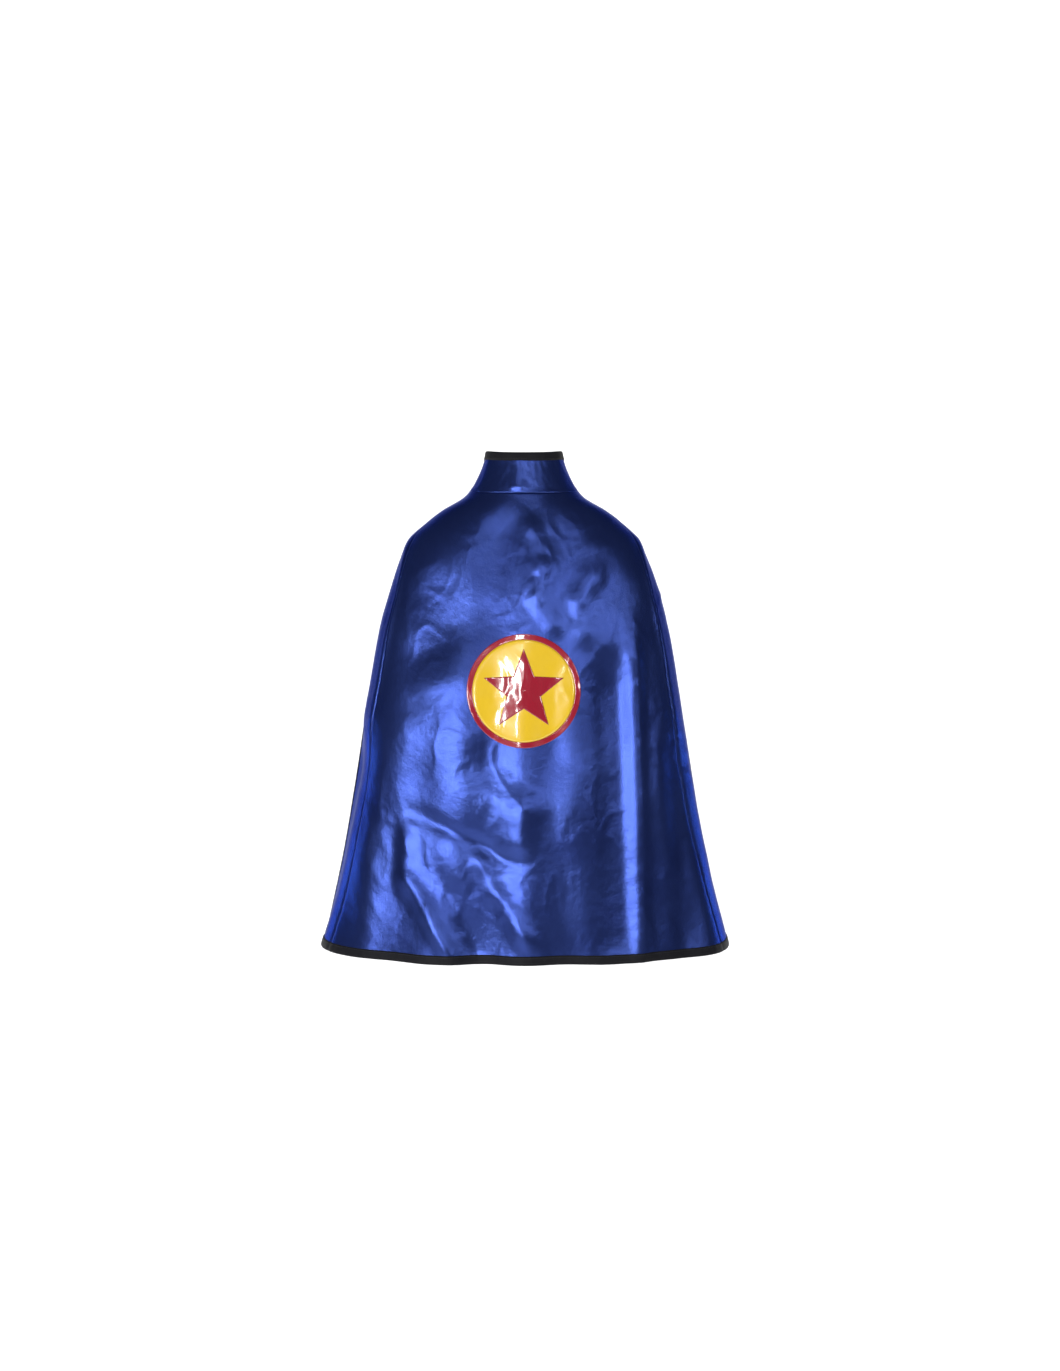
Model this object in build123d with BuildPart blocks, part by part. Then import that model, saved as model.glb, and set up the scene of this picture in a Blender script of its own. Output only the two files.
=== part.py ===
from build123d import *

import math
import os
from collections import namedtuple

# Child's superhero cape: a lined satin cape on a stand collar, bound in black, with a round badge.
#
# Millimetres. +Z is up and the wearer faces +Y, so the cape's back faces -Y and the wearer's right is +X.
# The origin is the middle of the neck opening, level with the collar seam at the sides of the neck.
# Angles run in degrees round the neck axis from the middle of the back, positive towards +X.

# ---------------------------------------------------------------- driving dimensions
# The draped cape as horizontal sections: height, half width, depth behind and in front of the neck
# axis, squareness of the curve, and the angles of the side seam and of the front edge.
Section = namedtuple("Section", "height half_width back front square seam edge")

DRIVING_SECTIONS = [
    Section(66, 49.0, 45.0, 44.0, 2.0, 90, 175),
    Section(50, 50.5, 46.0, 45.0, 2.0, 90, 175),
    Section(34, 54.5, 48.5, 47.5, 2.0, 90, 175),
    Section(18, 61.0, 52.0, 51.0, 2.0, 90, 175),
    Section(4, 69.0, 55.5, 55.0, 2.05, 90, 175),
    Section(-10, 81.0, 59.5, 58.5, 2.1, 88, 174),
    Section(-28, 111.0, 65.0, 62.5, 2.15, 85, 163),
    Section(-44, 131.0, 70.0, 66.0, 2.2, 82, 140),
    Section(-62, 150.0, 75.0, 69.5, 2.3, 79.5, 123),
    Section(-86, 162.0, 82.0, 73.0, 2.4, 77, 112),
    Section(-125, 176.0, 91.0, 76.0, 2.5, 74.5, 104),
    Section(-190, 193.0, 103.0, 80.0, 2.5, 73, 98),
    Section(-260, 206.0, 113.0, 85.0, 2.45, 72, 95.5),
    Section(-330, 218.0, 122.0, 91.0, 2.42, 72, 94.5),
    Section(-400, 230.0, 131.0, 97.0, 2.38, 72, 94.5),
    Section(-470, 243.0, 139.0, 103.0, 2.35, 72.5, 95.5),
    Section(-540, 259.0, 147.0, 110.0, 2.3, 73.5, 96.5),
    Section(-610, 277.0, 155.0, 117.0, 2.3, 74.5, 98),
    Section(-680, 296.0, 163.0, 124.0, 2.3, 75.5, 99.5),
]
STEPS = 2  # sections lofted for each driving one
SPACING = 5.0  # degrees between the points of a section's curve

FLUTES = 10  # soft folds round a full turn
FLUTE_TOP = -160.0  # height where the folds begin
FLUTE_DEPTH = 6.0  # at the hem

# Heights of the collar seam, of the collar's top edge and of the hem, seen from the side.
NECK_DEPTH = 66.0
SEAM_BACK, SEAM_SIDE, SEAM_FRONT = -8.0, 0.0, -20.0
TOP_BACK, TOP_SIDE, TOP_FRONT = 44.0, 51.0, 24.0
HEM_DEPTH = 174.0
HEM_BACK, HEM_SIDE = -611.0, -595.0
CORNER_RADIUS = 26.0
CORNER_FRONT = 33.0  # how far forward the hem's corners reach
CORNER_TOP = HEM_SIDE + CORNER_RADIUS

# Layers of cloth, each between two distances outside the draped surface.
OUTER = (0.0, -0.8)
INTERFACING = (-1.1, -1.9)
COLLAR_LINING = (-2.2, -3.0)
SKIRT_LINING = (-1.1, -1.9)
COLLAR_STACK = (OUTER[0], COLLAR_LINING[1])
SKIRT_STACK = (OUTER[0], SKIRT_LINING[1])
EASE = 0.3  # clearance between two layers
FOLD = 0.9  # thickness of the binding on each face
BINDING_WIDTH = 9.5
SEAM_GAP = 0.8  # between the collar and the skirt
SIDE_GAP = 0.2  # degrees, half the gap in a side seam
PAST_SEAM = 1.0  # degrees that a cutting block reaches past a side seam
THROUGH = (4.0, -6.0)  # from well outside the bound cloth to well inside it

# Badge on the back.
BADGE_HEIGHT = -266.0
BADGE_RADIUS, FIELD_RADIUS = 73.0, 66.0
STAR_TIPS = 5
STAR_RADIUS, STAR_WAIST = 54.0, 23.0
RIM_LAYER, FIELD_LAYER, STAR_LAYER = (1.2, 0.3), (0.9, 0.3), (1.8, 1.2)
BADGE_REACH = 35.0  # degrees of the back that the badge's layers are cut from

# Closure at the front of the collar, and the care label at the back of the neck.
COLLAR_END = 175.0  # degrees
TAB_LEFT, TAB_RIGHT, TAB_WIDTH, TAB_HEIGHT = -26.0, 33.0, 22.0, 4.0
PATCH_LEFT, PATCH_RIGHT, PATCH_WIDTH = 16.0, 32.0, 17.0
CLOSURE_CORNER = 4.0
CLOSURE_REACH = 50.0  # degrees either side of the front that the closure's layers are cut from
LOOP_LAYER, HOOK_LAYER, TAB_LAYER = (1.2, 0.3), (2.4, 1.5), (3.5, 2.7)
LABEL_WIDTH, LABEL_LENGTH, LABEL_THICKNESS = 30.0, 40.0, 0.5
LABEL_TOP, LABEL_BACK = -3.0, -53.2

FAR = 400.0  # reaches past the whole cape


# ---------------------------------------------------------------- the draped surface
def between(index, share):
    """The section a share of the way from one driving section to the next, on a smooth curve of heights."""
    rows = DRIVING_SECTIONS
    here, there = rows[index], rows[index + 1]
    before, after = rows[max(index - 1, 0)], rows[min(index + 2, len(rows) - 1)]
    rise = there.height - here.height
    height = here.height + share * rise
    values = []
    for start, end, low, high in zip(here[1:], there[1:], before[1:], after[1:]):
        leave = (end - low) / (there.height - before.height) * rise
        arrive = (high - start) / (after.height - here.height) * rise
        bend = (leave - (end - start)) * (1 - share) - (arrive - (end - start)) * share
        values.append(start + share * (end - start) + share * (1 - share) * bend)
    return Section(height, *values)


SECTIONS = [between(i, k / STEPS) for i in range(len(DRIVING_SECTIONS) - 1) for k in range(STEPS)]


def stretch(top, bottom):
    """The sections between two heights."""
    return [section for section in SECTIONS if bottom <= section.height <= top]


COLLAR_SECTIONS = stretch(66, -28)
CLOSURE_SECTIONS = stretch(34, -19)
SKIRT_SECTIONS = stretch(4, -680)
BADGE_SECTIONS = stretch(-157, -365)


def place(section, angle, distance=0.0):
    """The point of a section at an angle, standing a distance outside the surface."""
    turn = math.radians(angle)
    sine, cosine = math.sin(turn), math.cos(turn)
    depth = section.back if cosine > 0 else section.front
    power = section.square
    reach = (abs(sine / section.half_width) ** power + abs(cosine / depth) ** power) ** (-1 / power)
    x, y = reach * sine, -reach * cosine
    slope_x = math.copysign(abs(x / section.half_width) ** (power - 1) / section.half_width, x)
    slope_y = math.copysign(abs(y / depth) ** (power - 1) / depth, y)
    share = max(0.0, (FLUTE_TOP - section.height) / (FLUTE_TOP - HEM_BACK))
    flute = FLUTE_DEPTH * share * math.cos(FLUTES * turn)
    return Vector(x, y) + Vector(slope_x, slope_y).normalized() * (distance + flute)


def cloth(sections, layer, start, end):
    """A layer of cloth lofted between two angles, each a function of the section."""
    widest = max(end(section) - start(section) for section in sections)
    count = math.ceil(widest / SPACING)
    shares = [i / count for i in range(count + 1)]
    with BuildPart() as strip:
        for section in sections:
            angles = [start(section) + share * (end(section) - start(section)) for share in shares]
            with BuildSketch(Plane.XY.offset(section.height)):
                with BuildLine():
                    faces = [
                        Edge.make_spline([place(section, a, distance) for a in angles], parameters=shares)
                        for distance in layer
                    ]
                    add(faces)
                    Line(faces[0] @ 0, faces[1] @ 0)
                    Line(faces[0] @ 1, faces[1] @ 1)
                make_face()
        loft(ruled=True)
    return strip.part


def along_edge(distance):
    """How far round a section, in degrees, a distance square to the front edge reaches."""

    def reach(section):
        index = SECTIONS.index(section)
        above, below = SECTIONS[index - 1], SECTIONS[min(index + 1, len(SECTIONS) - 1)]
        drop = Vector(0, 0, below.height - above.height)
        run = place(below, below.edge) - place(above, above.edge) + drop
        per_degree = (place(section, section.edge + 1) - place(section, section.edge - 1)) / 2
        slant = per_degree.cross(run).length / per_degree.length / run.length
        return distance / slant / per_degree.length

    return reach


def round_binding(layer):
    """The two distances of a binding's outside, folded round everything within a layer."""
    return (layer[0] + EASE + FOLD, layer[1] - EASE - FOLD)


def within_binding(layer):
    """The two distances of the space inside a binding."""
    return (layer[0] + EASE, layer[1] - EASE)


# ---------------------------------------------------------------- outlines seen from the side
def seam_line(shift):
    """The collar seam, moved up by a shift."""
    return Spline(
        (-NECK_DEPTH, SEAM_BACK + shift),
        (0, SEAM_SIDE + shift),
        (NECK_DEPTH, SEAM_FRONT + shift),
        tangents=((1, 0), (1, 0)),
    )


def collar_outline(grow):
    """The stand collar's outline, its top edge raised by grow."""
    with BuildSketch(Plane.YZ) as outline:
        with BuildLine():
            bottom = seam_line(SEAM_GAP / 2)
            top = Spline(
                (-NECK_DEPTH, TOP_BACK + grow),
                (0, TOP_SIDE + grow),
                (NECK_DEPTH, TOP_FRONT + grow),
                tangents=((1, 0), (1, -0.6)),
            )
            Line(bottom @ 0, top @ 0)
            Line(bottom @ 1, top @ 1)
        make_face()
    return outline.sketch


def skirt_outline(grow):
    """The cape's outline below the collar seam, its hem and hem corners let out by grow."""
    with BuildSketch(Plane.YZ) as outline:
        with BuildLine():
            neck = seam_line(-SEAM_GAP / 2)
            hem = Spline(
                (-HEM_DEPTH, HEM_BACK - grow),
                (CORNER_FRONT - CORNER_RADIUS, HEM_SIDE - grow),
                tangents=((1, 0), (1, 0)),
            )
            corner = RadiusArc(hem @ 1, (CORNER_FRONT + grow, CORNER_TOP), -(CORNER_RADIUS + grow))
            Polyline(corner @ 1, (FAR, CORNER_TOP), (FAR, SEAM_FRONT), neck @ 1)
            Polyline(neck @ 0, (-FAR, SEAM_BACK), (-FAR, HEM_BACK - grow), hem @ 0)
        make_face()
    return outline.sketch


def trim(sheet, outline):
    """A layer of cloth cut to an outline seen from the side."""
    with BuildPart() as piece:
        add(sheet)
        extrude(outline, amount=FAR, both=True, mode=Mode.INTERSECT)
    return piece


def finish(piece, name):
    """Label a finished piece and write it out."""
    piece.part.label = name
    export_step(piece.part, f"parts/{name}.step")


os.makedirs("parts", exist_ok=True)

# ---------------------------------------------------------------- stand collar
def collar_layer(layer):
    """One layer of the collar's band, open at the front."""
    sheet = cloth(COLLAR_SECTIONS, layer, lambda section: -COLLAR_END, lambda section: COLLAR_END)
    return trim(sheet, collar_outline(0))


collar_outer = collar_layer(OUTER)
finish(collar_outer, "collar_outer")

collar_interfacing = collar_layer(INTERFACING)
finish(collar_interfacing, "collar_interfacing")

collar_lining = collar_layer(COLLAR_LINING)
finish(collar_lining, "collar_lining")


def collar_block(layer, grow):
    """The collar between two distances, let out by grow past its top edge and its two ends."""
    end = COLLAR_END + math.degrees(grow / NECK_DEPTH)
    sheet = cloth(COLLAR_SECTIONS, layer, lambda section: -end, lambda section: end)
    return trim(sheet, collar_outline(grow)).part


bound_collar = collar_block(round_binding(COLLAR_STACK), EASE + FOLD)
collar_space = collar_block(within_binding(COLLAR_STACK), EASE)
unbound_outline = collar_outline(-BINDING_WIDTH)

with BuildPart() as collar_middle:
    add(bound_collar)
    extrude(unbound_outline, amount=FAR, both=True, mode=Mode.INTERSECT)
    with BuildSketch(Plane.XZ):
        Rectangle(2 * (PATCH_LEFT - CLOSURE_CORNER / 2), FAR)
    extrude(amount=-FAR, mode=Mode.SUBTRACT)

with BuildPart() as collar_binding:
    add(bound_collar)
    add(collar_middle.part, mode=Mode.SUBTRACT)
    add(collar_space, mode=Mode.SUBTRACT)
finish(collar_binding, "collar_binding")

with BuildPart() as care_label:
    with BuildSketch(Plane.XY.offset(LABEL_TOP)):
        with Locations((0, LABEL_BACK)):
            Rectangle(LABEL_WIDTH, LABEL_THICKNESS)
    extrude(amount=-LABEL_LENGTH)
finish(care_label, "care_label")


# ---------------------------------------------------------------- closure
def closure_layer(layer, left, right, width):
    """A flat strip across the front of the collar, with rounded corners."""
    sheet = cloth(
        CLOSURE_SECTIONS,
        layer,
        lambda section: 180 - CLOSURE_REACH,
        lambda section: 180 + CLOSURE_REACH,
    )
    with BuildPart() as strip:
        add(sheet)
        with BuildSketch(Plane.XZ):
            with Locations(((left + right) / 2, TAB_HEIGHT)):
                RectangleRounded(right - left, width, CLOSURE_CORNER)
        extrude(amount=-FAR, mode=Mode.INTERSECT)
    return strip


loop_patch = closure_layer(LOOP_LAYER, PATCH_LEFT, PATCH_RIGHT, PATCH_WIDTH)
finish(loop_patch, "loop_patch")

hook_patch = closure_layer(HOOK_LAYER, PATCH_LEFT, PATCH_RIGHT, PATCH_WIDTH)
finish(hook_patch, "hook_patch")

closure_tab = closure_layer(TAB_LAYER, TAB_LEFT, TAB_RIGHT, TAB_WIDTH)
finish(closure_tab, "closure_tab")


# ---------------------------------------------------------------- back of the cape
def skirt_panel(layer, start, end):
    """One layer of one panel, cut off at the collar seam and the hem."""
    return trim(cloth(SKIRT_SECTIONS, layer, start, end), skirt_outline(0))


def back_start(section):
    return SIDE_GAP - section.seam


def back_end(section):
    return section.seam - SIDE_GAP


back_panel = skirt_panel(OUTER, back_start, back_end)
finish(back_panel, "back_panel")

back_lining = skirt_panel(SKIRT_LINING, back_start, back_end)
finish(back_lining, "back_lining")


# ---------------------------------------------------------------- fronts, from side seam to front edge
def front_start(section):
    return section.seam + SIDE_GAP


def front_end(section):
    return section.edge


def front_block(layer, margin, reach):
    """The front between two distances, reaching past its seam by degrees and past its edge by millimetres."""
    past_edge = along_edge(reach)
    return cloth(
        SKIRT_SECTIONS,
        layer,
        lambda section: section.seam - margin,
        lambda section: section.edge + past_edge(section),
    )


bound_front = front_block(round_binding(SKIRT_STACK), 0, EASE + FOLD)
front_space = front_block(within_binding(SKIRT_STACK), PAST_SEAM, EASE)
unbound_front = front_block(THROUGH, 2 * PAST_SEAM, -BINDING_WIDTH)
front_outline = skirt_outline(0)

for side in ("right", "left"):
    front_panel = skirt_panel(OUTER, front_start, front_end)
    front_lining = skirt_panel(SKIRT_LINING, front_start, front_end)
    with BuildPart() as edge_binding:
        add(bound_front)
        add(front_space, mode=Mode.SUBTRACT)
        add(unbound_front, mode=Mode.SUBTRACT)
        extrude(front_outline, amount=FAR, both=True, mode=Mode.INTERSECT)
        split(bisect_by=Plane.XY.offset(CORNER_TOP + EASE))
    for piece, name in (
        (front_panel, "front_panel"),
        (front_lining, "front_lining"),
        (edge_binding, "edge_binding"),
    ):
        if side == "left":
            piece.part = mirror(piece.part, about=Plane.YZ)
        finish(piece, f"{side}_{name}")


# ---------------------------------------------------------------- hem
def hem_block(layer, grow):
    """The whole skirt between two distances, let out by grow past its edges and its hem."""
    past_edge = along_edge(grow)
    sheet = cloth(
        SKIRT_SECTIONS,
        layer,
        lambda section: -section.edge - past_edge(section),
        lambda section: section.edge + past_edge(section),
    )
    outline = skirt_outline(grow)
    with BuildPart() as block:
        add(sheet)
        extrude(outline, amount=FAR, both=True, mode=Mode.INTERSECT)
        split(bisect_by=Plane.XY.offset(CORNER_TOP), keep=Keep.BOTTOM)
    return block.part


bound_hem = hem_block(round_binding(SKIRT_STACK), EASE + FOLD)
hem_space = hem_block(within_binding(SKIRT_STACK), EASE)
above_hem = skirt_outline(-BINDING_WIDTH)

with BuildPart() as hem_binding:
    add(bound_hem)
    extrude(above_hem, amount=FAR, both=True, mode=Mode.SUBTRACT)
    add(hem_space, mode=Mode.SUBTRACT)
finish(hem_binding, "hem_binding")


# ---------------------------------------------------------------- badge
def badge_layer(layer):
    """The part of the back that the badge is cut from, at a layer's distances."""
    return cloth(BADGE_SECTIONS, layer, lambda section: -BADGE_REACH, lambda section: BADGE_REACH)


rim_sheet = badge_layer(RIM_LAYER)
with BuildPart() as badge_rim:
    add(rim_sheet)
    with BuildSketch(Plane.XZ):
        with Locations((0, BADGE_HEIGHT)):
            Circle(BADGE_RADIUS)
    extrude(amount=FAR, mode=Mode.INTERSECT)
    with BuildSketch(Plane.XZ):
        with Locations((0, BADGE_HEIGHT)):
            Circle(FIELD_RADIUS)
    extrude(amount=FAR, mode=Mode.SUBTRACT)
finish(badge_rim, "badge_rim")

field_sheet = badge_layer(FIELD_LAYER)
with BuildPart() as badge_field:
    add(field_sheet)
    with BuildSketch(Plane.XZ):
        with Locations((0, BADGE_HEIGHT)):
            Circle(FIELD_RADIUS - EASE)
    extrude(amount=FAR, mode=Mode.INTERSECT)
finish(badge_field, "badge_field")

star_points = [
    (radius * math.sin(math.pi / STAR_TIPS * i), BADGE_HEIGHT + radius * math.cos(math.pi / STAR_TIPS * i))
    for i, radius in enumerate([STAR_RADIUS, STAR_WAIST] * STAR_TIPS)
]
star_sheet = badge_layer(STAR_LAYER)
with BuildPart() as badge_star:
    add(star_sheet)
    with BuildSketch(Plane.XZ):
        Polygon(*star_points, align=None)
    extrude(amount=FAR, mode=Mode.INTERSECT)
finish(badge_star, "badge_star")
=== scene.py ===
"""The looks of the child's superhero cape: draped satin, lining, bindings, stitches, badge and closure.

Metres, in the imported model's frame: +Z up, the wearer faces +Y and the cape's back faces -Y. Angles are
in degrees round the neck axis from the middle of the back, positive towards +X.
"""

import math

import bpy
import numpy as np
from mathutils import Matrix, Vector, noise
from mathutils.bvhtree import BVHTree


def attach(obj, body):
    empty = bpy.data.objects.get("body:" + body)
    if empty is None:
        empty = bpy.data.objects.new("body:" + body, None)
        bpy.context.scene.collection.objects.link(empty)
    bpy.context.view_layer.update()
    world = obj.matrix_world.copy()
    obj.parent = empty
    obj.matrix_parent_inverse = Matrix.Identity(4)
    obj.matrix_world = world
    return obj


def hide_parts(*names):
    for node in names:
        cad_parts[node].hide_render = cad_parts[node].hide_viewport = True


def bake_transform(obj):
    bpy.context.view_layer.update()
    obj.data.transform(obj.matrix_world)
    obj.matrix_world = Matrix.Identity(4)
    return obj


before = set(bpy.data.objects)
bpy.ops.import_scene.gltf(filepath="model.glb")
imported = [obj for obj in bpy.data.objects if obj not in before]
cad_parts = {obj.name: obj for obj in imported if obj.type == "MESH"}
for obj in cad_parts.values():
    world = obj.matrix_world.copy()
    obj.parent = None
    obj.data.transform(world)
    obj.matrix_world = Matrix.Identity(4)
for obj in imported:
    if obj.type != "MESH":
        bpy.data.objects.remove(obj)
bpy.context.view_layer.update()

# ---------------------------------------------------------------- the draped surface, as in the CAD
MM = 0.001
# height, half width, depth behind, depth in front, squareness, side seam's angle, front edge's angle
SECTIONS = np.array([
    (66, 49.0, 45.0, 44.0, 2.0, 90, 175),
    (50, 50.5, 46.0, 45.0, 2.0, 90, 175),
    (34, 54.5, 48.5, 47.5, 2.0, 90, 175),
    (18, 61.0, 52.0, 51.0, 2.0, 90, 175),
    (4, 69.0, 55.5, 55.0, 2.05, 90, 175),
    (-10, 81.0, 59.5, 58.5, 2.1, 88, 174),
    (-28, 111.0, 65.0, 62.5, 2.15, 85, 163),
    (-44, 131.0, 70.0, 66.0, 2.2, 82, 140),
    (-62, 150.0, 75.0, 69.5, 2.3, 79.5, 123),
    (-86, 162.0, 82.0, 73.0, 2.4, 77, 112),
    (-125, 176.0, 91.0, 76.0, 2.5, 74.5, 104),
    (-190, 193.0, 103.0, 80.0, 2.5, 73, 98),
    (-260, 206.0, 113.0, 85.0, 2.45, 72, 95.5),
    (-330, 218.0, 122.0, 91.0, 2.42, 72, 94.5),
    (-400, 230.0, 131.0, 97.0, 2.38, 72, 94.5),
    (-470, 243.0, 139.0, 103.0, 2.35, 72.5, 95.5),
    (-540, 259.0, 147.0, 110.0, 2.3, 73.5, 96.5),
    (-610, 277.0, 155.0, 117.0, 2.3, 74.5, 98),
    (-680, 296.0, 163.0, 124.0, 2.3, 75.5, 99.5),
])
FLUTES, FLUTE_TOP, FLUTE_DEPTH = 10, -160.0, 6.0
NECK_DEPTH = 66.0
SEAM_BACK, SEAM_SIDE, SEAM_FRONT = -8.0, 0.0, -20.0
TOP_BACK, TOP_SIDE, TOP_FRONT = 44.0, 51.0, 24.0
HEM_DEPTH, HEM_BACK, HEM_SIDE = 174.0, -611.0, -595.0
CORNER_RADIUS, CORNER_FRONT = 26.0, 33.0
COLLAR_END = 175.0


def smooth(t):
    """An ease from 0 to 1."""
    t = np.clip(t, 0.0, 1.0)
    return t * t * (3 - 2 * t)


def section_at(z):
    """The sections' values at heights in millimetres, on the same smooth curve as the CAD's."""
    heights = SECTIONS[:, 0]
    last = len(heights) - 1
    z = np.clip(z, heights[-1], heights[0])
    i = np.clip(np.searchsorted(-heights, -z, side="right") - 1, 0, last - 1)
    before, after = np.maximum(i - 1, 0), np.minimum(i + 2, last)
    rise = heights[i + 1] - heights[i]
    share = ((z - heights[i]) / rise)[..., None]
    here, there = SECTIONS[i, 1:], SECTIONS[i + 1, 1:]
    low, high = SECTIONS[before, 1:], SECTIONS[after, 1:]
    leave = (there - low) / (heights[i + 1] - heights[before])[..., None] * rise[..., None]
    arrive = (high - here) / (heights[after] - heights[i])[..., None] * rise[..., None]
    bend = (leave - (there - here)) * (1 - share) - (arrive - (there - here)) * share
    return np.moveaxis(here + share * (there - here) + share * (1 - share) * bend, -1, 0)


def drape(angle, z, distance=0.0):
    """Points in millimetres at an angle and height, a distance outside the plain draped surface."""
    half_width, back, front, square, _, _ = section_at(z)
    sine, cosine = np.sin(np.radians(angle)), np.cos(np.radians(angle))
    depth = np.where(cosine > 0, back, front)
    reach = (abs(sine / half_width) ** square + abs(cosine / depth) ** square) ** (-1 / square)
    x, y = reach * sine, -reach * cosine
    slope_x = np.sign(x) * abs(x / half_width) ** (square - 1) / half_width
    slope_y = np.sign(y) * abs(y / depth) ** (square - 1) / depth
    length = np.hypot(slope_x, slope_y)
    share = np.maximum(0, (FLUTE_TOP - z) / (FLUTE_TOP - HEM_BACK))
    out = distance + FLUTE_DEPTH * share * np.cos(FLUTES * np.radians(angle))
    return np.stack([x + slope_x / length * out, y + slope_y / length * out, z + 0 * x], -1)


def between_heights(y, back, side, front, depth):
    """A soft line of heights seen from the side, back at -depth, side at 0 and front at +depth."""
    behind = side + (back - side) * smooth(-y / depth)
    before = side + (front - side) * smooth(y / depth)
    return np.where(y < 0, behind, before)


def hem_height(y):
    """The hem's height seen from the side, with its rounded corner."""
    line = HEM_SIDE + (HEM_BACK - HEM_SIDE) * smooth((CORNER_FRONT - CORNER_RADIUS - y) / HEM_DEPTH)
    past = np.clip(y - (CORNER_FRONT - CORNER_RADIUS), 0, CORNER_RADIUS)
    return line + CORNER_RADIUS - np.sqrt(CORNER_RADIUS**2 - past**2)


def solve_height(angle_of, height_of, guess):
    """The height where a column of the surface meets a line given by its depth."""
    z = guess
    for _ in range(12):
        z = 0.5 * z + 0.5 * height_of(drape(angle_of(z), z)[..., 1])
    return z


# ---------------------------------------------------------------- folds of the hanging cloth
# A fold runs from (x, z) to (x, z) in millimetres, as seen from behind, with a width and a height outwards.
FOLDS = [
    ((140, -190), (150, -620), 13, 8.5),
    ((112, -230), (116, -620), 32, -10.0),
    ((168, -380), (182, -620), 24, 2.0),
    ((194, -330), (216, -620), 20, -6.0),
    ((-222, -330), (-242, -620), 28, -8.0),
    ((-148, -300), (-160, -420), 26, 4.0),
    ((-112, -235), (-74, -350), 60, 8.5),
    ((-120, -120), (-90, -200), 34, -3.0),
    ((-110, -370), (0, -430), 36, 5.0),
    ((-133, -424), (-14, -484), 11, -3.2),
    ((-150, -440), (-148, -520), 12, 4.5),
    ((-150, -500), (-84, -618), 12, 6.0),
    ((-58, -474), (-34, -530), 13, 5.0),
    ((-38, -520), (8, -590), 14, 6.0),
    ((4, -400), (-8, -470), 20, 5.0),
    ((-110, -500), (-50, -615), 20, -6.0),
    ((52, -380), (40, -620), 30, 5.0),
    ((-16, -8), (12, -60), 12, 2.5),
    ((8, -50), (24, -110), 16, 4.0),
    ((24, -100), (16, -150), 14, 3.5),
    ((16, -145), (44, -190), 13, 3.0),
    ((100, -70), (88, -135), 17, 3.4),
    ((94, -105), (66, -160), 15, 2.8),
    ((68, -135), (78, -200), 15, 2.6),
    ((58, -50), (56, -180), 22, -2.2),
    ((-34, -50), (-50, -190), 26, -4.0),
    ((-151, -64), (-176, -190), 4, 2.2),
    ((-176, -180), (-203, -330), 5, 2.2),
    ((151, -64), (176, -190), 4, 2.2),
    ((176, -180), (203, -330), 5, 2.2),
]
BROAD, CRISP, FINE = 1.9, 0.85, 0.2  # heights of three sizes of wrinkle, millimetres


def wrinkle(x, z):
    """Irregular wrinkles at one point: broad swells, creases with sharp crests, and a fine crackle."""
    bend = 18.0 * noise.noise((x / 40.0, z / 55.0, 9.0))
    broad = noise.noise(((x + bend) / 52.0, z / 90.0, 3.0))
    first = 1.0 - abs(2.0 * noise.noise(((x + bend) / 30.0, (z - bend) / 46.0, 7.0)))
    second = 1.0 - abs(2.0 * noise.noise(((x - bend) / 15.0, (z + bend) / 21.0, 11.0)))
    patch = min(1.0, max(0.15, 0.6 + 1.4 * noise.noise((x / 95.0, z / 95.0, 5.0))))
    fine = noise.noise((x / 7.0, z / 9.0, 13.0))
    return BROAD * broad + patch * (CRISP * (0.85 * first**2 + 0.15 * second**2) + FINE * fine)


def wrinkles(x, z):
    """The wrinkles over a grid of points."""
    return np.array([wrinkle(*point) for point in zip(x.ravel(), z.ravel())]).reshape(x.shape)


def fold_height(x, z):
    """How far the folds and wrinkles stand out, in millimetres."""
    total = np.zeros_like(x)
    for (x0, z0), (x1, z1), width, height in FOLDS:
        run = math.hypot(x1 - x0, z1 - z0)
        along = ((x - x0) * (x1 - x0) + (z - z0) * (z1 - z0)) / run
        across = ((x - x0) * (z1 - z0) - (z - z0) * (x1 - x0)) / run
        ends = smooth(along / min(90.0, run / 2) + 0.5) * smooth((run - along) / min(90.0, run / 2) + 0.5)
        total += height * ends * np.exp(-((across / width) ** 2))
    return total + wrinkles(x, z)


# ---------------------------------------------------------------- the skirt as one sheet
TUCK = 1.15  # how far the top of the skirt tucks in behind the collar
BACK_HALF, FRONT_WIDTH = 270.0, 85.0  # about how wide half the back and one front are


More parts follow.
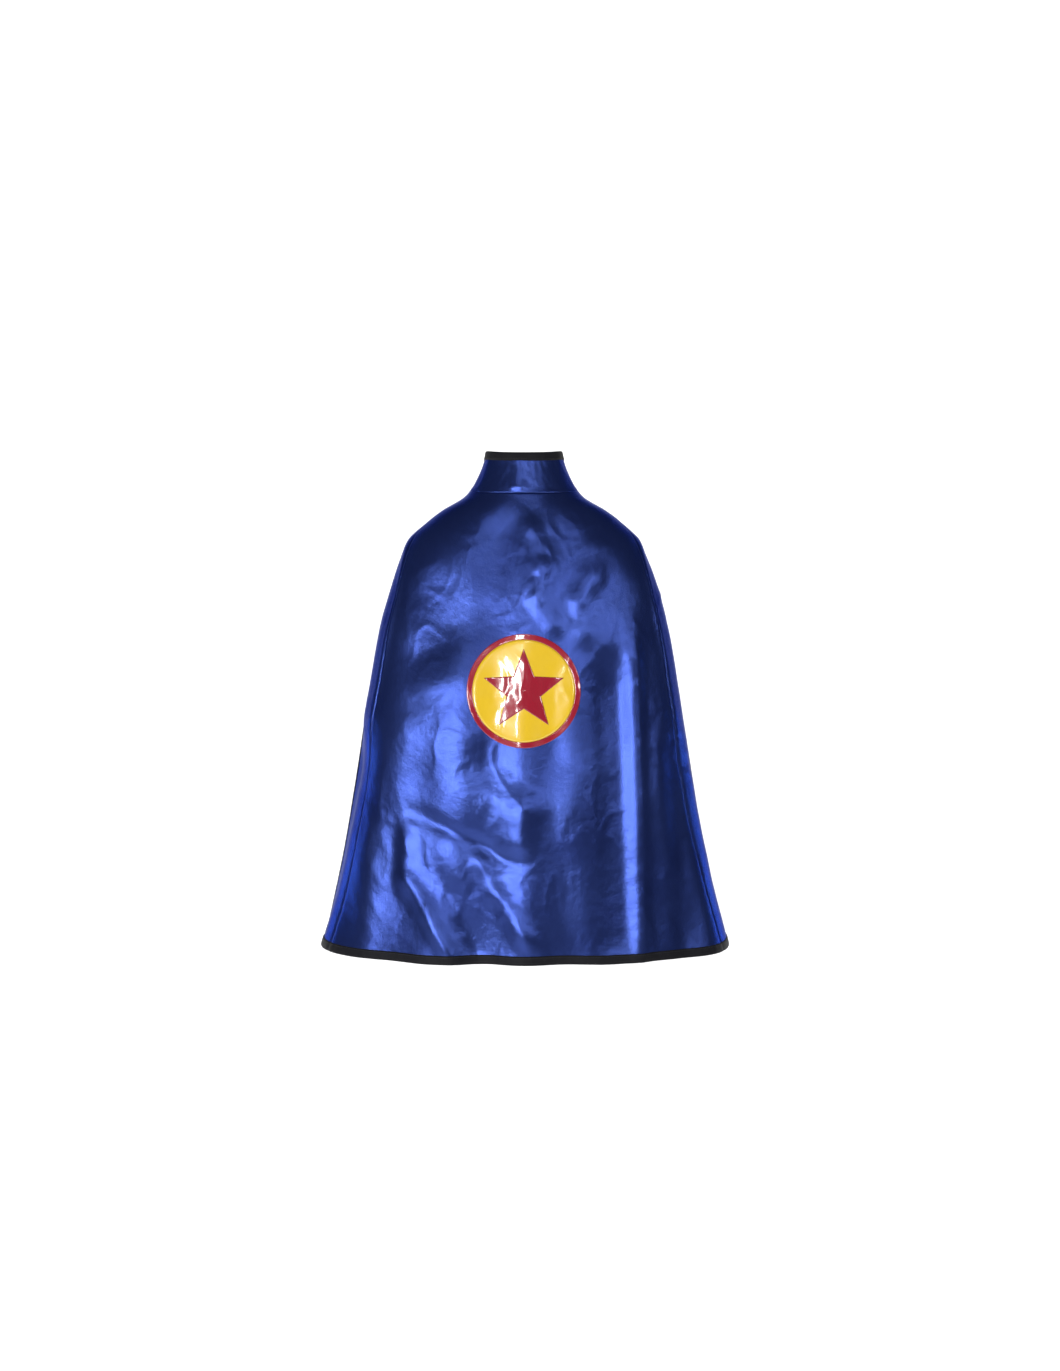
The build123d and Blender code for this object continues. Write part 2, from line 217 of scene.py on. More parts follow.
def skirt_sheet(columns, rows):
    """Points of the whole skirt below the collar seam, millimetres.

    A column's number is -1 to 1 across the back and 1 to 2 from a side seam to a front edge; a row's
    number is 0 at the collar seam and 1 at the hem.
    """
    side = np.sign(columns)
    inside = np.minimum(abs(columns), 1.0)
    beyond = np.maximum(abs(columns) - 1.0, 0.0)

    def angle_of(z):
        _, _, _, _, seam, edge = section_at(z)
        return side * (inside * seam + beyond * (edge - seam))

    def seam_height(y):
        return between_heights(y, SEAM_BACK, SEAM_SIDE, SEAM_FRONT, NECK_DEPTH) + 1.2

    top = solve_height(angle_of, seam_height, np.full(columns.shape, -8.0))
    bottom = solve_height(angle_of, hem_height, np.full(columns.shape, -600.0))
    z = top[None, :] + rows[:, None] * (bottom - top)[None, :]
    column = np.broadcast_to(columns, z.shape)
    side, inside, beyond = side[None, :], inside[None, :], beyond[None, :]
    _, _, _, _, seam, edge = section_at(z)
    angle = side * (inside * seam + beyond * (edge - seam))
    plain = drape(angle, z)
    fade = smooth((-10.0 - z) / 40.0) * smooth((2.0 - abs(column)) / 0.5)
    tuck = TUCK * smooth(1 - (top[None, :] - z) / 2.6)
    from_seam = (1 - inside) * BACK_HALF + beyond * FRONT_WIDTH
    pucker = np.array([noise.noise((h / 9.0, 2.0, 6.0)) for h in z.ravel()]).reshape(z.shape)
    seam = np.exp(-((from_seam / 1.6) ** 2)) * 0.9 - 0.5 * pucker * np.exp(-((from_seam / 9.0) ** 2))
    return drape(angle, z, fade * (fold_height(plain[..., 0], z) - seam) - tuck)


def normals_of(points):
    """Unit normals of a grid of points, pointing outwards."""
    across = np.gradient(points, axis=1)
    down = np.gradient(points, axis=0)
    normal = np.cross(across, -down)
    return normal / np.linalg.norm(normal, axis=-1, keepdims=True)


# ---------------------------------------------------------------- meshes
def add_mesh(name, points, faces, material, uv=None):
    """A shaded mesh from points in millimetres, with its material."""
    mesh = bpy.data.meshes.new(name)
    mesh.from_pydata((np.asarray(points).reshape(-1, 3) * MM).tolist(), [], faces)
    mesh.polygons.foreach_set("use_smooth", [True] * len(mesh.polygons))
    if uv is not None:
        layer = mesh.uv_layers.new(name="cloth")
        loops = np.empty(len(mesh.loops), dtype=np.int64)
        mesh.loops.foreach_get("vertex_index", loops)
        layer.data.foreach_set("uv", np.asarray(uv)[loops].ravel())
    mesh.materials.append(material)
    mesh.update()
    piece = bpy.data.objects.new(name, mesh)
    bpy.context.collection.objects.link(piece)
    return piece


def cloth_piece(name, outer, thickness, material, flat_uv):
    """A closed sheet of cloth whose outer face is a grid of points, millimetres."""
    rows, columns = outer.shape[:2]
    inner = outer - normals_of(outer) * thickness
    points = np.concatenate([outer.reshape(-1, 3), inner.reshape(-1, 3)])
    index = np.arange(rows * columns).reshape(rows, columns)
    a, b, c, d = index[:-1, :-1], index[:-1, 1:], index[1:, 1:], index[1:, :-1]
    front = np.stack([a, d, c, b], -1).reshape(-1, 4)
    back = front[:, ::-1] + rows * columns
    rim = np.concatenate([index[0], index[1:, -1], index[-1, -2::-1], index[-2:0:-1, 0]])
    nxt = np.roll(rim, -1)
    edge = np.stack([rim, nxt, nxt + rows * columns, rim + rows * columns], -1)
    faces = np.concatenate([front, back, edge]).tolist()
    uv = np.concatenate([flat_uv.reshape(-1, 2)] * 2)
    return add_mesh(name, points, faces, material, uv)


def flat_coordinates(points):
    """Distances along and down a grid of points, in metres, as the cloth lies flat."""
    across = np.linalg.norm(np.diff(points, axis=1), axis=-1)
    down = np.linalg.norm(np.diff(points, axis=0), axis=-1)
    u = np.pad(np.cumsum(across, axis=1), ((0, 0), (1, 0)))
    u -= u[:, u.shape[1] // 2][:, None]
    v = np.pad(np.cumsum(down, axis=0), ((1, 0), (0, 0)))
    return np.stack([u, -v], -1) * MM


# ---------------------------------------------------------------- materials
def new_material(name, **values):
    """A material whose Principled shader has these inputs, and its nodes."""
    material = bpy.data.materials.new(name)
    material.use_nodes = True
    shader = material.node_tree.nodes["Principled BSDF"]
    for key, value in values.items():
        shader.inputs[key.replace("_", " ")].default_value = value
    return material, material.node_tree, shader


def satin(name, colour, bright, edge):
    """Shiny woven satin: colour varies a little, and the warp catches the light along the cloth."""
    material, tree, shader = new_material(
        name, Metallic=0.92, Roughness=0.29, Anisotropic=0.35, Specular_Tint=(*edge, 1)
    )
    nodes, links = tree.nodes, tree.links
    uv = nodes.new("ShaderNodeUVMap")
    uv.uv_map = "cloth"
    cloud = nodes.new("ShaderNodeTexNoise")
    cloud.inputs["Scale"].default_value = 14.0
    cloud.inputs["Detail"].default_value = 5.0
    links.new(uv.outputs["UV"], cloud.inputs["Vector"])
    ramp = nodes.new("ShaderNodeMix")
    ramp.data_type = "RGBA"
    ramp.inputs["A"].default_value = (*colour, 1)
    ramp.inputs["B"].default_value = (*bright, 1)
    links.new(cloud.outputs["Fac"], ramp.inputs["Factor"])
    links.new(ramp.outputs["Result"], shader.inputs["Base Color"])
    warp = nodes.new("ShaderNodeTexWave")
    warp.bands_direction = "X"
    warp.inputs["Scale"].default_value = 900.0
    warp.inputs["Distortion"].default_value = 0.6
    links.new(uv.outputs["UV"], warp.inputs["Vector"])
    crease = nodes.new("ShaderNodeTexNoise")
    crease.inputs["Scale"].default_value = 70.0
    crease.inputs["Detail"].default_value = 7.0
    crease.inputs["Roughness"].default_value = 0.68
    links.new(uv.outputs["UV"], crease.inputs["Vector"])
    soft = nodes.new("ShaderNodeBump")
    soft.inputs["Distance"].default_value = 0.0011
    soft.inputs["Strength"].default_value = 0.52
    links.new(crease.outputs["Fac"], soft.inputs["Height"])
    fine = nodes.new("ShaderNodeBump")
    fine.inputs["Distance"].default_value = 0.00004
    fine.inputs["Strength"].default_value = 0.5
    links.new(warp.outputs["Fac"], fine.inputs["Height"])
    links.new(soft.outputs["Normal"], fine.inputs["Normal"])
    links.new(fine.outputs["Normal"], shader.inputs["Normal"])
    return material


def plain_fabric(name, colour, roughness, scale, sheen=0.02):
    """A matt woven tape or ribbon."""
    material, tree, shader = new_material(
        name, Roughness=roughness, Sheen_Weight=sheen, Specular_IOR_Level=0.08
    )
    nodes, links = tree.nodes, tree.links
    place = nodes.new("ShaderNodeTexCoord")
    weave = nodes.new("ShaderNodeTexNoise")
    weave.inputs["Scale"].default_value = scale
    weave.inputs["Detail"].default_value = 4.0
    links.new(place.outputs["Object"], weave.inputs["Vector"])
    tint = nodes.new("ShaderNodeMix")
    tint.data_type = "RGBA"
    tint.inputs["A"].default_value = (*[0.7 * c for c in colour], 1)
    tint.inputs["B"].default_value = (*[1.35 * c for c in colour], 1)
    links.new(weave.outputs["Fac"], tint.inputs["Factor"])
    links.new(tint.outputs["Result"], shader.inputs["Base Color"])
    bump = nodes.new("ShaderNodeBump")
    bump.inputs["Distance"].default_value = 0.0003
    bump.inputs["Strength"].default_value = 0.6
    links.new(weave.outputs["Fac"], bump.inputs["Height"])
    links.new(bump.outputs["Normal"], shader.inputs["Normal"])
    return material


def vinyl(name, colour, roughness):
    """Glossy heat-pressed vinyl with a faint orange-peel."""
    material, tree, shader = new_material(
        name, Base_Color=(*colour, 1), Roughness=roughness, Coat_Weight=0.8, Coat_Roughness=0.06
    )
    place = tree.nodes.new("ShaderNodeTexCoord")
    peel = tree.nodes.new("ShaderNodeTexNoise")
    peel.inputs["Scale"].default_value = 260.0
    tree.links.new(place.outputs["Object"], peel.inputs["Vector"])
    bump = tree.nodes.new("ShaderNodeBump")
    bump.inputs["Distance"].default_value = 0.0002
    bump.inputs["Strength"].default_value = 0.35
    tree.links.new(peel.outputs["Fac"], bump.inputs["Height"])
    tree.links.new(bump.outputs["Normal"], shader.inputs["Normal"])
    return material


blue_satin = satin("blue_satin", (0.0130, 0.0235, 0.114), (0.026, 0.046, 0.182), (0.34, 0.38, 0.74))
black_lining = satin("black_lining", (0.010, 0.010, 0.012), (0.018, 0.018, 0.022), (0.3, 0.3, 0.32))
black_binding = plain_fabric("black_binding", (0.004, 0.004, 0.0055), 0.62, 900.0)
black_thread = plain_fabric("black_thread", (0.02, 0.02, 0.024), 0.5, 3000.0)
grey_thread = plain_fabric("grey_thread", (0.05, 0.05, 0.055), 0.5, 3000.0)
white_label = plain_fabric("white_label", (0.75, 0.74, 0.7), 0.45, 1500.0)
stiffener = plain_fabric("stiffener", (0.7, 0.7, 0.68), 0.9, 700.0)
black_loop = plain_fabric("black_loop", (0.018, 0.018, 0.02), 0.95, 1800.0, sheen=0.1)
black_hook = plain_fabric("black_hook", (0.014, 0.014, 0.015), 0.5, 1200.0, sheen=0.0)
yellow_vinyl = vinyl("yellow_vinyl", (0.42, 0.27, 0.004), 0.22)
red_foil = vinyl("red_foil", (0.17, 0.001, 0.01), 0.16)

# ---------------------------------------------------------------- cloth panels
SEAM_PITCH = 0.004  # column spacing beside a side seam


def hang(piece):
    """A piece of the skirt, with its placement baked into its points; it is attached to no body."""
    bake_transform(piece)


def panel(name, grid, flat, area, nodes):
    """A cloth panel and its lining, standing for two CAD nodes."""
    cloth = cloth_piece(f"{name}_cloth", grid, 0.5, blue_satin, flat_coordinates(grid))
    inside = grid - normals_of(grid) * 1.3
    lining = cloth_piece(f"{name}_lining_cloth", inside, 0.4, black_lining, flat_coordinates(inside))
    for piece, node, slot in ((cloth, nodes[0], "blue_satin"), (lining, nodes[1], "black_lining")):
        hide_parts(node)
        hang(piece)


rows = np.concatenate([[0, 0.0012, 0.0024, 0.004, 0.006, 0.009], np.linspace(0.0125, 1, 224)])
near_seam = SEAM_PITCH * np.arange(6)
back_columns = np.concatenate([near_seam - 1, np.linspace(-0.975, 0.975, 193), 1 - near_seam[::-1]])
front_columns = np.concatenate([1 + near_seam, 1.02 + 0.98 * np.linspace(0, 1, 56)[1:] ** 0.85])
whole_columns = np.concatenate([-front_columns[:0:-1], back_columns, front_columns[1:]])
skirt_grid = skirt_sheet(whole_columns, rows)
FIRST, LAST = len(front_columns) - 1, len(front_columns) + len(back_columns) - 2
# width and length as cut, and area, in metres: guesses, the fronts' area set near the finished mesh's own
BACK_CUT, FRONT_CUT = ((0.55, 0.63), 0.25), ((0.15, 0.63), 0.062)
for name, grid, cut in (
    ("back", skirt_grid[:, FIRST : LAST + 1], BACK_CUT),
    ("right_front", skirt_grid[:, LAST:], FRONT_CUT),
    ("left_front", skirt_grid[:, : FIRST + 1], FRONT_CUT),
):
    outer = "back_panel" if name == "back" else f"{name}_panel"
    panel(name, grid, *cut, (outer, f"{name}_lining"))


# ---------------------------------------------------------------- following a surface
class Surface:
    """A grid of points, millimetres, that other pieces are laid on."""

    def __init__(self, grid):
        rows, columns = grid.shape[:2]
        index = np.arange(rows * columns).reshape(rows, columns)
        a, b, c, d = index[:-1, :-1], index[:-1, 1:], index[1:, 1:], index[1:, :-1]
        faces = np.stack([a, d, c, b], -1).reshape(-1, 4)
        self.points = grid.reshape(-1, 3)
        self.normals = normals_of(grid).reshape(-1, 3)
        self.faces = faces
        self.tree = BVHTree.FromPolygons(self.points.tolist(), faces.tolist())

    def lay(self, points, distances):
        """The points moved to the nearest place on the surface, each standing off by its distance."""
        laid = np.empty_like(points)
        for i, (point, distance) in enumerate(zip(points, distances)):
            spot, _, face, _ = self.tree.find_nearest(Vector(point))
            laid[i] = np.array(spot) + self.normal_at(face, spot) * distance
        return laid

    def normal_at(self, face, spot):
        """The smooth normal at a spot of a face."""
        corners = self.faces[face]
        weight = 1 / (1e-3 + np.linalg.norm(self.points[corners] - np.array(spot), axis=1) ** 2)
        normal = (self.normals[corners] * weight[:, None]).sum(0)
        return normal / np.linalg.norm(normal)

    def press(self, x, z, direction, distance):
        """The points at x and z pressed onto the surface along +Y or -Y, standing off by a distance."""
        start_y = -600.0 * direction
        pressed = np.empty((len(x), 3))
        for i, (px, pz) in enumerate(zip(x, z)):
            spot, _, face, _ = self.tree.ray_cast(Vector((px, start_y, pz)), Vector((0, direction, 0)))
            pressed[i] = np.array(spot) + self.normal_at(face, spot) * distance[i]
        return pressed


# ---------------------------------------------------------------- bindings and stitches
TAPE_WIDTH = 10.5
TAPE_THICKNESS = 0.5
# The folded tape's section from its outer edge round the fold to its inner edge: inwards, outwards, mm.
TAPE_OUTSIDE = [(10.5, 0.2), (10.4, 0.75), (8.0, 1.0), (4.5, 1.1), (1.4, 1.15), (-0.4, 0.9), (-1.2, 0.1)]


def tape_section(stack):
    """The closed section of the tape round a stack of cloth this thick."""
    outside = [(q, o) for q, o in TAPE_OUTSIDE]
    under = [(q, -stack - o) for q, o in reversed(TAPE_OUTSIDE)]
    ring = outside + under
    inner = [(max(q + TAPE_THICKNESS, 0.2) if q < 2 else q - 0.1, o) for q, o in ring]
    inner = [(q, o - TAPE_THICKNESS if o > -stack / 2 else o + TAPE_THICKNESS) for q, o in inner]
    return ring + inner[::-1]


def edge_frames(path, surface):
    """Tangents, normals and inward directions along an edge of a surface."""
    tangent = np.gradient(path, axis=0)
    tangent /= np.linalg.norm(tangent, axis=1, keepdims=True)
    normal = np.empty_like(path)
    for i, point in enumerate(path):
        spot, _, face, _ = surface.tree.find_nearest(Vector(point))
        normal[i] = surface.normal_at(face, spot)
    inward = np.cross(normal, tangent)
    inward /= np.linalg.norm(inward, axis=1, keepdims=True)
    return tangent, normal, inward


def even_path(points, spacing):
    """The points of a path, respaced evenly."""
    steps = np.linalg.norm(np.diff(points, axis=0), axis=1)
    along = np.concatenate([[0], np.cumsum(steps)])
    places = np.linspace(0, along[-1], max(2, int(along[-1] / spacing)))
    return np.stack([np.interp(places, along, points[:, k]) for k in range(3)], -1)


def tape(name, path, surface, stack, material):
    """A tape folded over an edge; the surface's inside lies to the left of the path's direction."""
    path = even_path(path, 1.8)
    _, normal, inward = edge_frames(path, surface)
    section = np.array(tape_section(stack))
    rings = []
    ripple = np.array([noise.noise((i * 0.35, 1.7, 4.0)) for i in range(len(path))])
    for q, o in section:
        spots = path + inward * max(q, 0.0)
        laid = surface.lay(spots, np.full(len(path), 0.0))
        pucker = ripple * 0.35 * (q > 2) * (1 if o > -stack / 2 else -1)
        rings.append(laid + normal * (o + pucker)[:, None] - inward * max(-q, 0.0))
    grid = np.stack(rings, 1)
    rows, columns = grid.shape[:2]
    index = np.arange(rows * columns).reshape(rows, columns)
    a, b = index[:-1], index[1:]
    sides = np.stack([a, b, np.roll(b, -1, 1), np.roll(a, -1, 1)], -1).reshape(-1, 4).tolist()
    faces = sides + [index[0].tolist(), index[-1, ::-1].tolist()]
    return add_mesh(name, grid, faces, material)


def stitches(name, path, surface, inset, height, material, pitch=2.9, length=2.2, radius=0.24):
    """A row of separate stitches along an edge, inset from it and lying on the cloth."""
    path = even_path(path, pitch)
    _, normal, inward = edge_frames(path, surface)
    line = surface.lay(path + inward * inset, np.full(len(path), 0.0)) + normal * height
    points, faces = [], []
    shape = [(-0.5, 0.15), (-0.3, 0.9), (0.3, 0.9), (0.5, 0.15)]
    for i in range(len(line) - 1):
        run = line[i + 1] - line[i]
        run /= np.linalg.norm(run)
        side = np.cross(normal[i], run)
        middle = (line[i] + line[i + 1]) / 2
        base = len(points)
        for share, thick in shape:
            for k in range(5):
                turn = 2 * math.pi * k / 5
                round_off = side * math.cos(turn) + normal[i] * (math.sin(turn) - 0.3 * (1 - thick))
                points.append(middle + run * share * length + round_off * radius * thick)
        for ring in range(3):
            for k in range(5):
                a, b = base + ring * 5 + k, base + ring * 5 + (k + 1) % 5
                faces.append((a, b, b + 5, a + 5))
        faces.append(tuple(base + k for k in range(4, -1, -1)))
        faces.append(tuple(base + 15 + k for k in range(5)))
    return add_mesh(name, points, faces, material)


SKIRT_STACK, COLLAR_STACK = 1.8, 3.0
skirt = Surface(skirt_grid)
left_edge, right_edge, hem = skirt_grid[:, 0], skirt_grid[:, -1], skirt_grid[-1]

for name, path, node in (
    ("left_edge_tape", left_edge, "left_edge_binding"),
    ("hem_tape", hem, "hem_binding"),
    ("right_edge_tape", right_edge[::-1], "right_edge_binding"),
):
    piece = tape(name, path, skirt, SKIRT_STACK, black_binding)
    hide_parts(node)
    hang(piece)
    row = stitches(f"{name}_stitches", path, skirt, TAPE_WIDTH - 2.2, 1.15, black_thread)
    hang(row)

# ---------------------------------------------------------------- stand collar
COLLAR_WRINKLE, COLLAR_CREASE = 0.7, 2.0  # heights, millimetres


def collar_sheet(columns, rows):
    """Points of the collar: columns -1 to 1 from one end round the back to the other, rows 0 at the seam
    and 1 at the top."""
    angle = columns * COLLAR_END

    def angle_of(z):
        return angle

    def seam_height(y):
        return between_heights(y, SEAM_BACK, SEAM_SIDE, SEAM_FRONT, NECK_DEPTH) + 0.4

    def top_height(y):
        return between_heights(y, TOP_BACK, TOP_SIDE, TOP_FRONT, NECK_DEPTH)

    bottom = solve_height(angle_of, seam_height, np.full(columns.shape, -5.0))
    top = solve_height(angle_of, top_height, np.full(columns.shape, 45.0))
    z = bottom[None, :] + rows[:, None] * (top - bottom)[None, :]
    grid_angle = np.broadcast_to(angle, z.shape)
    rough = np.array([
        noise.noise((a / 14.0, b / 34.0, 2.0)) + 0.5 * noise.noise((a / 6.0, b / 12.0, 5.0))
        for a, b in zip(grid_angle.ravel(), z.ravel())
    ]).reshape(z.shape)
    calm = smooth(rows * 6)[:, None] * smooth((1 - rows) * 5)[:, None]
    crease = COLLAR_CREASE * np.exp(-(((grid_angle + 8.0) / 11.0) ** 2))
    return drape(grid_angle, z, (COLLAR_WRINKLE * rough + crease) * calm)


collar_rows = np.linspace(1, 0, 41)
collar_grid = collar_sheet(np.linspace(-1, 1, 241), collar_rows)
collar = Surface(collar_grid)
interfacing_grid = collar_sheet(np.linspace(-0.99, 0.99, 181), np.linspace(0.95, 0.08, 31))
for name, grid, distance, material, node in (
    ("collar_cloth", collar_grid, 0.0, blue_satin, "collar_outer"),
    ("collar_interfacing_cloth", interfacing_grid, -1.2, stiffener, "collar_interfacing"),
    ("collar_lining_cloth", collar_grid, -2.2, black_lining, "collar_lining"),
):
    layer = grid + normals_of(grid) * distance
    piece = cloth_piece(name, layer, 0.6, material, flat_coordinates(layer))
    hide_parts(node)
    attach(piece, "collar")

left_end, right_end = collar_grid[:, 0], collar_grid[:, -1]
collar_border = np.concatenate([right_end[::-1], collar_grid[0, -2:0:-1], left_end])
piece = tape("collar_tape", collar_border, collar, COLLAR_STACK, black_binding)
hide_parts("collar_binding")
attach(piece, "collar")
row = stitches("collar_tape_stitches", collar_border, collar, TAPE_WIDTH - 2.2, 1.15, black_thread)
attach(row, "collar")

# ---------------------------------------------------------------- badge
BADGE_HEIGHT = -266.0
BADGE_RADIUS, FIELD_RADIUS = 73.0, 66.0
STAR_RADIUS, STAR_WAIST = 54.0, 23.0


def star_reach(turn):
    """How far the star reaches at an angle from straight up."""
    sector = math.radians(36)
    past = abs((turn + sector) % (2 * sector) - sector)
    tip, waist = STAR_RADIUS, STAR_WAIST
    return tip * waist * math.sin(sector) / (tip * math.sin(past) + waist * math.sin(sector - past))


def pressed_shape(name, surface, centre, direction, inner, outer, thickness, lift, material):
    """A flat shape between two reaches round a middle, pressed onto a surface and rounded at its edges."""
    turns = np.linspace(0, 2 * math.pi, 241)[:-1]
    low, high = (np.array([reach(t) for t in turns]) for reach in (inner, outer))
    shares = np.linspace(0, 1, 22)
    reach = low + shares[:, None] * (high - low)
    x, z = centre[0] + reach * np.sin(turns), centre[1] + reach * np.cos(turns)
    edge = np.minimum(1 - shares, shares if low.max() > 1 else 1.0) * (high - low).mean() / 0.8
    top = lift + thickness * (0.25 + 0.75 * np.sqrt(np.minimum(1.0, edge)))
    height = np.broadcast_to(top[:, None], x.shape)
    points = surface.press(x.ravel(), z.ravel(), direction, height.ravel())
    under = surface.press(x.ravel(), z.ravel(), direction, np.full(x.size, lift))
    rows, columns = x.shape
    index = np.arange(rows * columns).reshape(rows, columns)
    a, b = index[:-1], index[1:]
    face = np.stack([a, np.roll(a, -1, 1), np.roll(b, -1, 1), b], -1).reshape(-1, 4)[:, ::direction]
    faces = face.tolist() + (face[:, ::-1] + rows * columns).tolist()
    for ring, flip in ((index[-1], direction), (index[0], -direction)):
        after, below = np.roll(ring, -1), rows * columns
        around = np.stack([ring, after, after + below, ring + below], -1)
        faces += around[:, ::flip].tolist()
    return add_mesh(name, np.concatenate([points, under]), faces, material)


CENTRE = 0.01  # reach of a shape with no hole
RIM_OVERLAP = 0.3  # the rim laps the field's edge


def to_centre(turn):
    return CENTRE


# node, inner reach, outer reach, thickness, height above the cloth, material
for node, inner, outer, thickness, lift, material in (
    ("badge_rim", lambda t: FIELD_RADIUS - RIM_OVERLAP, lambda t: BADGE_RADIUS, 0.8, 0.1, red_foil),
    ("badge_field", to_centre, lambda t: FIELD_RADIUS, 0.5, 0.1, yellow_vinyl),
    ("badge_star", to_centre, star_reach, 0.5, 0.7, red_foil),
):
    badge_place = (0, BADGE_HEIGHT)
    piece = pressed_shape(
        f"{node}_vinyl", skirt, badge_place, 1, inner, outer, thickness, lift, material
    )
    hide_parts(node)
    hang(piece)

# ---------------------------------------------------------------- closure
TAB_LEFT, TAB_RIGHT, TAB_WIDTH, TAB_HEIGHT = -26.0, 33.0, 22.0, 4.0
PATCH_LEFT, PATCH_RIGHT, PATCH_WIDTH = 16.0, 32.0, 17.0
FRONT_ANGLE, FRONT_SPREAD = 180, 60  # the part of the neck that the closure lies on
front_angles = np.linspace(FRONT_ANGLE - FRONT_SPREAD, FRONT_ANGLE + FRONT_SPREAD, 121)
front_heights = np.linspace(30, -22, 53)
front = Surface(drape(*np.meshgrid(front_angles, front_heights), 0.0))


def rounded(half_length, half_width):
    """How far a rectangle with rounded corners reaches at an angle from straight up."""
    power = 9  # the higher, the squarer the corners

    def reach(turn):
        along, up = abs(math.sin(turn) / half_length), abs(math.cos(turn) / half_width)
        return (along**power + up**power) ** (-1 / power)

    return reach


TAB_CENTRE = ((TAB_LEFT + TAB_RIGHT) / 2, TAB_HEIGHT)
PATCH_CENTRE = ((PATCH_LEFT + PATCH_RIGHT) / 2, TAB_HEIGHT)
tab_half, patch_half = (TAB_RIGHT - TAB_LEFT) / 2, (PATCH_RIGHT - PATCH_LEFT) / 2
tab_shape = rounded(tab_half, TAB_WIDTH / 2)
patch_shape = rounded(patch_half, PATCH_WIDTH / 2)
# name, middle, shape, thickness, height above the collar, material, node, body
for name, centre, shape, thickness, lift, material, node, body in (
    ("tab_cloth", TAB_CENTRE, tab_shape, 0.9, 2.7, black_binding, "closure_tab", "closure_tab"),
    ("hook_base", PATCH_CENTRE, patch_shape, 0.4, 2.2, black_hook, "hook_patch", "closure_tab"),
    ("loop_base", PATCH_CENTRE, patch_shape, 0.4, 0.3, black_loop, "loop_patch", "collar"),
):
    piece = pressed_shape(name, front, centre, -1, to_centre, shape, thickness, lift, material)
    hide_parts(node)
    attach(piece, body)


def outline_path(centre, shape, inset):
    """Points round a shape on the front of the collar, inset from its edge."""
    turns = np.linspace(0, 2 * math.pi, 121)
    reach = np.array([shape(t) for t in turns]) - inset
    x, z = centre[0] + reach * np.sin(turns), centre[1] + reach * np.cos(turns)
    return front.press(x, z, -1, np.zeros(turns.shape))


path = outline_path(TAB_CENTRE, tab_shape, 2.2)
row = stitches("tab_stitches", path, front, 0.0, 3.55, grey_thread)
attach(row, "closure_tab")


def pile(name, low, high, hooked, material):
    """Rows of hooks, or a mat of loops, standing on the front of the collar between two distances."""
    points, faces = [], []
    spacing, margin, thread = 1.25, 1.2, 0.11
    wander = 0.05 if hooked else 0.35
    across, up = np.meshgrid(
        np.arange(margin, 2 * patch_half - 1, spacing), np.arange(margin, PATCH_WIDTH - 1, spacing)
    )
    for i, (dx, dz) in enumerate(zip(across.ravel(), up.ravel())):
        x = PATCH_LEFT + dx + wander * noise.noise((i * 0.7, 1.0, 2.0)) * 3
        z = TAB_HEIGHT - PATCH_WIDTH / 2 + dz + wander * noise.noise((i * 0.7, 5.0, 3.0)) * 3
        lean = 0.45 if hooked else 0.5 + 0.3 * noise.noise((i * 1.3, 2.0, 8.0))
        tip = (lean * 1.05, 0.5) if hooked else (lean * 1.3, 0.1)
        arc = [(0, 0), (0.02, 0.5), (lean * 0.5, 0.95), (lean, 0.75), tip]
        turn = 0.0 if hooked else 6.3 * noise.noise((i * 0.9, 3.0, 1.0))
        base = len(points)
        for share, rise in arc:
            height = low + (high - low) * rise
            spot = front.press([x + share * math.cos(turn)], [z + share * math.sin(turn)], -1, [height])[0]
            for k in range(4):
                a = math.pi / 2 * k
                points.append(spot + thread * np.array([math.cos(a), 0.0, math.sin(a)]) + (0, 0.04 * k, 0))
        for ring in range(len(arc) - 1):
            for k in range(4):
                a, b = base + 4 * ring + k, base + 4 * ring + (k + 1) % 4
                faces.append((a, b, b + 4, a + 4))
        last = base + 4 * (len(arc) - 1)
        faces += [(base + 3, base + 2, base + 1, base), (last, last + 1, last + 2, last + 3)]
    return add_mesh(name, points, faces, material)


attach(pile("loop_pile", 0.65, 1.25, False, black_loop), "collar")
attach(pile("hook_pile", 2.25, 1.5, True, black_hook), "closure_tab")

# ---------------------------------------------------------------- care label, blank
LABEL_WIDTH, LABEL_LENGTH = 30.0, 40.0
LABEL_TOP, LABEL_BACK = -3.0, -53.2
across, down = np.meshgrid(np.linspace(0.5, -0.5, 31) * LABEL_WIDTH, np.linspace(0, 1, 41))
curl = 1.4 * down**2 * np.cos(across / LABEL_WIDTH * 2.4) + 0.25 * np.sin(down * 7 + across * 0.15) * down
label_grid = np.stack([across, LABEL_BACK + 0.2 + curl, LABEL_TOP - LABEL_LENGTH * down], -1)
piece = cloth_piece("label_ribbon", label_grid, 0.35, white_label, flat_coordinates(label_grid))
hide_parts("care_label")
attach(piece, "collar")

# ---------------------------------------------------------------- floor, light and camera
def add_area(name, place, target, size, power, colour=(1, 1, 1)):
    """A rectangular soft light at a place, facing a target."""
    light = bpy.data.lights.new(name, "AREA")
    light.shape = "RECTANGLE"
    light.size, light.size_y = size
    light.energy = power
    light.color = colour
    lamp = bpy.data.objects.new(name, light)
    lamp.location = place
    direction = np.array(target) - np.array(place)
    lamp.rotation_euler = Vector(direction).to_track_quat("-Z", "Y").to_euler()
    bpy.context.collection.objects.link(lamp)


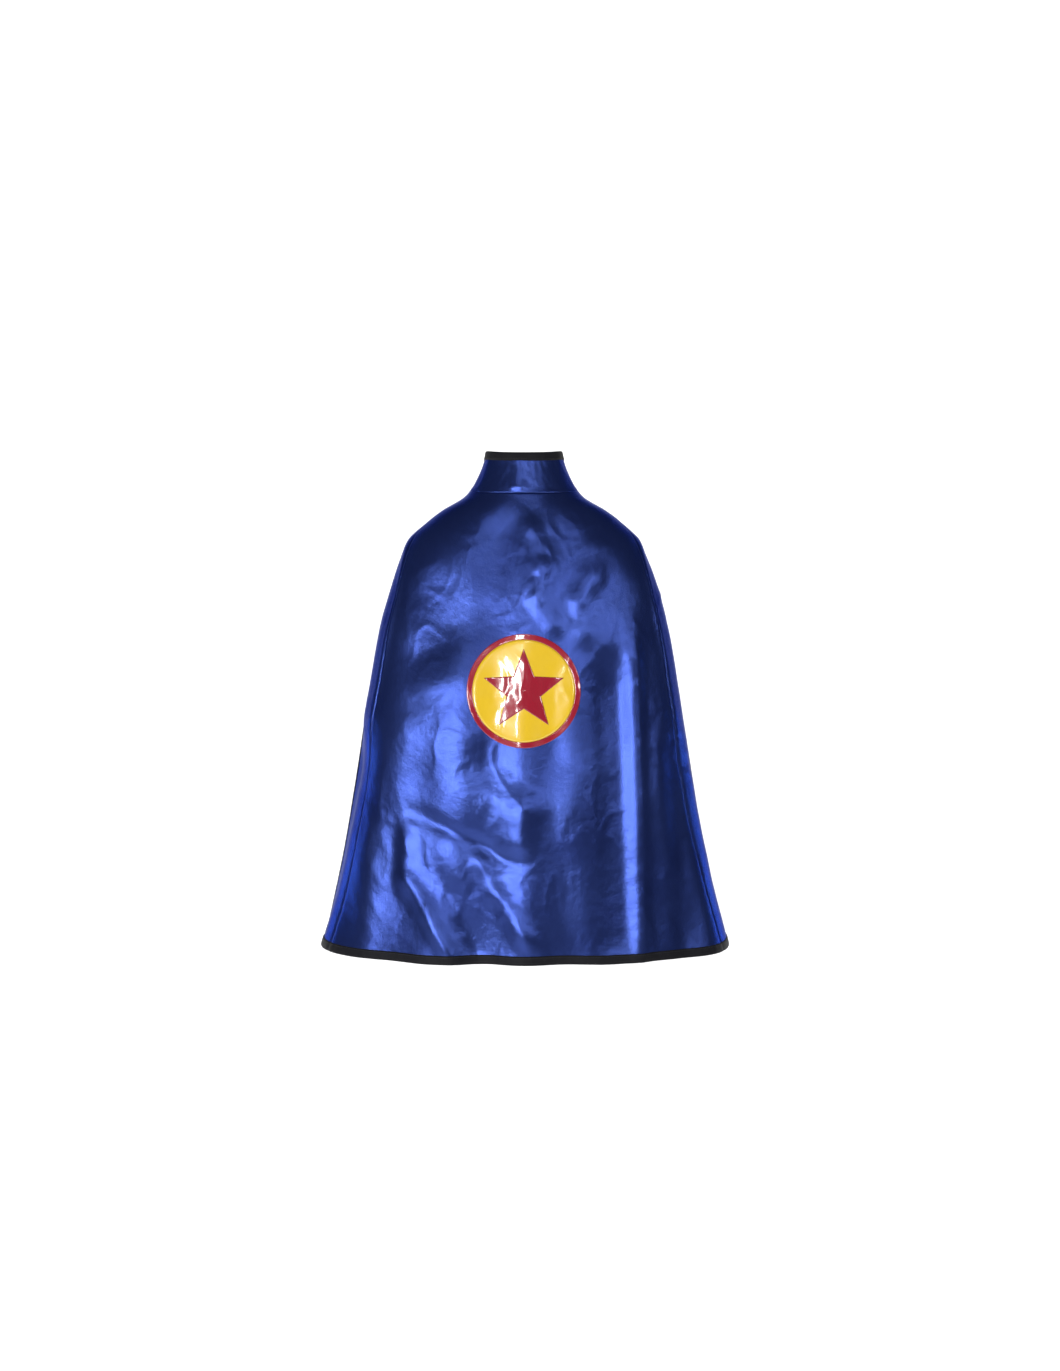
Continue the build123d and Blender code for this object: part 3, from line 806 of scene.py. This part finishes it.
FLOOR, SWEEP_START, SWEEP_RADIUS, SWEEP_TOP, HALF_WIDTH = -1.2, 3.6, 1.8, 4.5, 7.0
bend = np.linspace(0, math.pi / 2, 25)
profile = [(-7.0, FLOOR)]
for a in bend:
    profile.append((SWEEP_START + SWEEP_RADIUS * math.sin(a), FLOOR + SWEEP_RADIUS * (1 - math.cos(a))))
profile += [(SWEEP_START + SWEEP_RADIUS, SWEEP_TOP)]
floor_points = [(x, y, z) for y, z in profile for x in (-HALF_WIDTH, HALF_WIDTH)]
floor_faces = [(2 * i, 2 * i + 1, 2 * i + 3, 2 * i + 2) for i in range(len(profile) - 1)]
floor_mesh = bpy.data.meshes.new("floor")
floor_mesh.from_pydata(floor_points, [], floor_faces)
floor_mesh.polygons.foreach_set("use_smooth", [True] * len(floor_faces))
floor = bpy.data.objects.new("floor", floor_mesh)
bpy.context.collection.objects.link(floor)
floor_material = new_material(
    "floor", Base_Color=(0.9, 0.9, 0.9, 1), Roughness=0.8, Emission_Color=(1, 1, 1, 1), Emission_Strength=0.65
)[0]
floor_mesh.materials.append(floor_material)

world = bpy.data.worlds.new("studio")
world.use_nodes = True
world.node_tree.nodes["Background"].inputs["Color"].default_value = (0.95, 0.97, 1, 1)
world.node_tree.nodes["Background"].inputs["Strength"].default_value = 0.2
bpy.context.scene.world = world
bpy.context.scene.view_settings.view_transform = "Standard"

add_area("key", (-1.3, -2.5, 0.12), (0, 0, -0.35), (0.6, 0.9), 84)
add_area("top", (0.1, -2.3, 1.4), (0, 0, -0.1), (0.15, 0.4), 10)
add_area("strip", (-0.25, -2.9, 0.62), (0, 0, -0.3), (0.12, 0.5), 14)
add_area("fill", (1.7, -2.4, 0.9), (0, 0, -0.3), (0.4, 0.8), 26)
add_area("rim_left", (-1.9, 1.1, -0.6), (0, 0, -0.5), (0.3, 0.9), 12)
add_area("rim_right", (1.9, 1.1, -0.6), (0, 0, -0.5), (0.3, 0.9), 12)

MM_PER_PIXEL = 1.33
DISTANCE = 3.0
camera_data = bpy.data.cameras.new("camera")
camera_data.sensor_fit = "VERTICAL"
camera_data.angle = 2 * math.atan(1371 / 2 * MM_PER_PIXEL * MM / DISTANCE)
camera = bpy.data.objects.new("camera", camera_data)
camera.location = (0.008, -DISTANCE, -0.259)
camera.rotation_euler = (math.pi / 2, 0, 0)
bpy.context.collection.objects.link(camera)
bpy.context.scene.camera = camera
